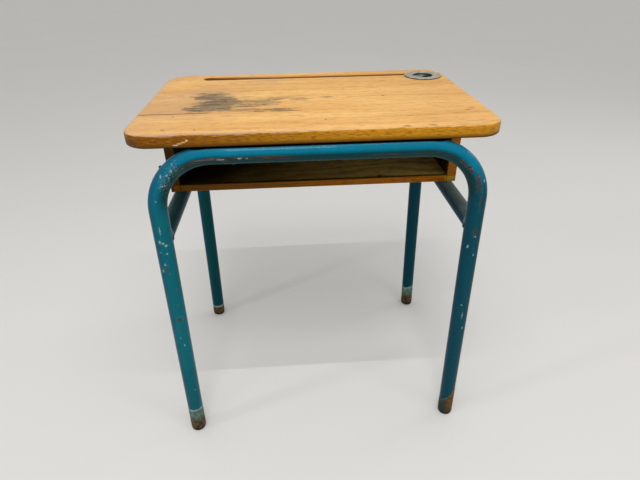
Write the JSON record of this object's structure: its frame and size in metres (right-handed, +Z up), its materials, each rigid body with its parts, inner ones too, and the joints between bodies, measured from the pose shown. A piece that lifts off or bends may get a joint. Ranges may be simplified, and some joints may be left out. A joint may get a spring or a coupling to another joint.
{
  "type": "school desk",
  "caption": "Single-seat school desk: fixed wooden top with pen groove and revolving-cover inkwell, open book box, and two painted bent-tube arches joined by side stretchers.",
  "frame": {"origin": "on the floor, under the middle of the top", "axes": "+Z up, +Y away from the pupil, +X to the pupil's right"},
  "size_m": [0.5543, 0.3894, 0.6174],
  "materials": {
    "oak_top": "worn satin varnish on light oak",
    "painted_tube": "chipped teal gloss enamel with rust where it is worn",
    "box_wood": "brown varnish on softwood",
    "glide_plastic": "scuffed matte",
    "screw_steel": "dulled zinc",
    "inkwell_metal": "dull spun metal",
    "hook_iron": "worn black"
  },
  "bodies": {
    "desk": {"top_front_board": "oak_top", "top_middle_board": "oak_top", "top_rear_board": "oak_top", "front_arch": "painted_tube", "rear_arch": "painted_tube", "left_stretcher": "painted_tube", "right_stretcher": "painted_tube", "box_left_side": "box_wood", "box_right_side": "box_wood", "box_bottom": "box_wood", "box_front_lipping": "box_wood", "box_back": "box_wood", "top_cleat_left": "box_wood", "top_cleat_right": "box_wood", "glide_front_left": "glide_plastic", "glide_front_right": "glide_plastic", "glide_rear_left": "glide_plastic", "glide_rear_right": "glide_plastic", "front_arch_screws": "screw_steel", "rear_arch_screws": "screw_steel", "stretcher_screws": "screw_steel", "back_screws": "screw_steel", "cleat_top_screws": "screw_steel", "cleat_side_screws": "screw_steel", "bag_hook_screws": "screw_steel", "bag_hook": "hook_iron"},
    "inkwell": {"inkwell_flange": "inkwell_metal", "ink_cup": "inkwell_metal", "cup_snap_ring": "screw_steel"},
    "inkwell_cover": {"inkwell_cover": "inkwell_metal"}
  },
  "joints": [
    {"name": "inkwell_lift", "type": "slide", "parent": "desk", "child": "inkwell", "axis": [0, 0, 1], "range_m": [0, 0.06]},
    {"name": "inkwell_cover_turn", "type": "hinge", "parent": "inkwell", "child": "inkwell_cover", "pos_m": [0.22969, 0.1285, 0.615], "axis": [0, 0, 1], "continuous": true}
  ]
}
